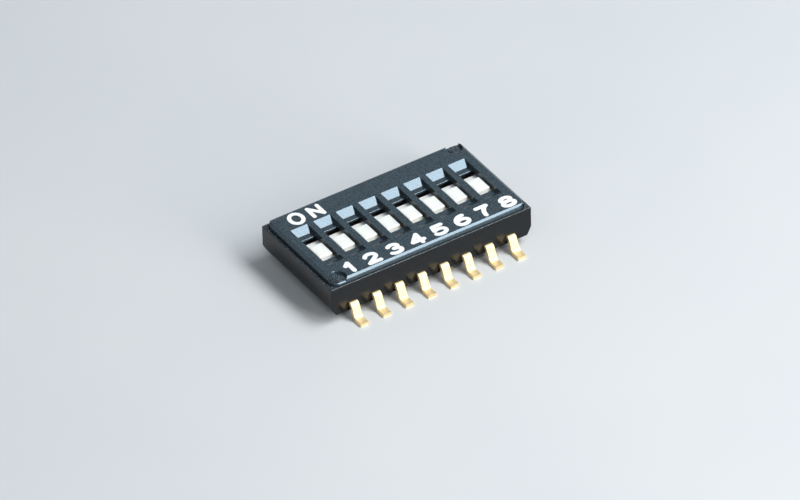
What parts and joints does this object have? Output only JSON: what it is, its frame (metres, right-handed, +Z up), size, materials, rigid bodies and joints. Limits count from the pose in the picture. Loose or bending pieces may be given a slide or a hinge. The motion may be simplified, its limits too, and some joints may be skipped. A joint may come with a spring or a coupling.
{
  "type": "dip switch",
  "caption": "Low surface-mount slide DIP switch: a black moulded box with a row of recessed white sliders and two rows of gold gull-wing leads.",
  "frame": {"origin": "under the middle of the body, on the plane of the solder feet", "axes": "+X along the row from switch 1 to switch 8, +Y towards the ON side, +Z up through the sliders"},
  "size_m": [0.0112, 0.008, 0.0023],
  "materials": {
    "base_plastic": "glossy black moulded plastic",
    "cover_plastic": "satin black moulded plastic with white print",
    "slider_plastic": "warm white moulded plastic",
    "spring_gold": "gold-plated spring strip",
    "terminal_gold": "gold-plated terminal strip"
  },
  "bodies": {
    "housing": {"base": "base_plastic", "cover": "cover_plastic", "terminal_1": "terminal_gold", "terminal_2": "terminal_gold", "terminal_3": "terminal_gold", "terminal_4": "terminal_gold", "terminal_5": "terminal_gold", "terminal_6": "terminal_gold", "terminal_7": "terminal_gold", "terminal_8": "terminal_gold", "terminal_9": "terminal_gold", "terminal_10": "terminal_gold", "terminal_11": "terminal_gold", "terminal_12": "terminal_gold", "terminal_13": "terminal_gold", "terminal_14": "terminal_gold", "terminal_15": "terminal_gold", "terminal_16": "terminal_gold"},
    "switch_1": {"slider_1": "slider_plastic", "contact_1": "spring_gold"},
    "switch_2": {"slider_2": "slider_plastic", "contact_2": "spring_gold"},
    "switch_3": {"slider_3": "slider_plastic", "contact_3": "spring_gold"},
    "switch_4": {"slider_4": "slider_plastic", "contact_4": "spring_gold"},
    "switch_5": {"slider_5": "slider_plastic", "contact_5": "spring_gold"},
    "switch_6": {"slider_6": "slider_plastic", "contact_6": "spring_gold"},
    "switch_7": {"slider_7": "slider_plastic", "contact_7": "spring_gold"},
    "switch_8": {"slider_8": "slider_plastic", "contact_8": "spring_gold"}
  },
  "joints": [
    {"name": "slide_1", "type": "slide", "parent": "housing", "child": "switch_1", "axis": [0, 1, 0], "range_m": [0, 0.0005]},
    {"name": "slide_2", "type": "slide", "parent": "housing", "child": "switch_2", "axis": [0, 1, 0], "range_m": [0, 0.0005]},
    {"name": "slide_3", "type": "slide", "parent": "housing", "child": "switch_3", "axis": [0, 1, 0], "range_m": [0, 0.0005]},
    {"name": "slide_4", "type": "slide", "parent": "housing", "child": "switch_4", "axis": [0, 1, 0], "range_m": [0, 0.0005]},
    {"name": "slide_5", "type": "slide", "parent": "housing", "child": "switch_5", "axis": [0, 1, 0], "range_m": [0, 0.0005]},
    {"name": "slide_6", "type": "slide", "parent": "housing", "child": "switch_6", "axis": [0, 1, 0], "range_m": [0, 0.0005]},
    {"name": "slide_7", "type": "slide", "parent": "housing", "child": "switch_7", "axis": [0, 1, 0], "range_m": [0, 0.0005]},
    {"name": "slide_8", "type": "slide", "parent": "housing", "child": "switch_8", "axis": [0, 1, 0], "range_m": [0, 0.0005]}
  ]
}
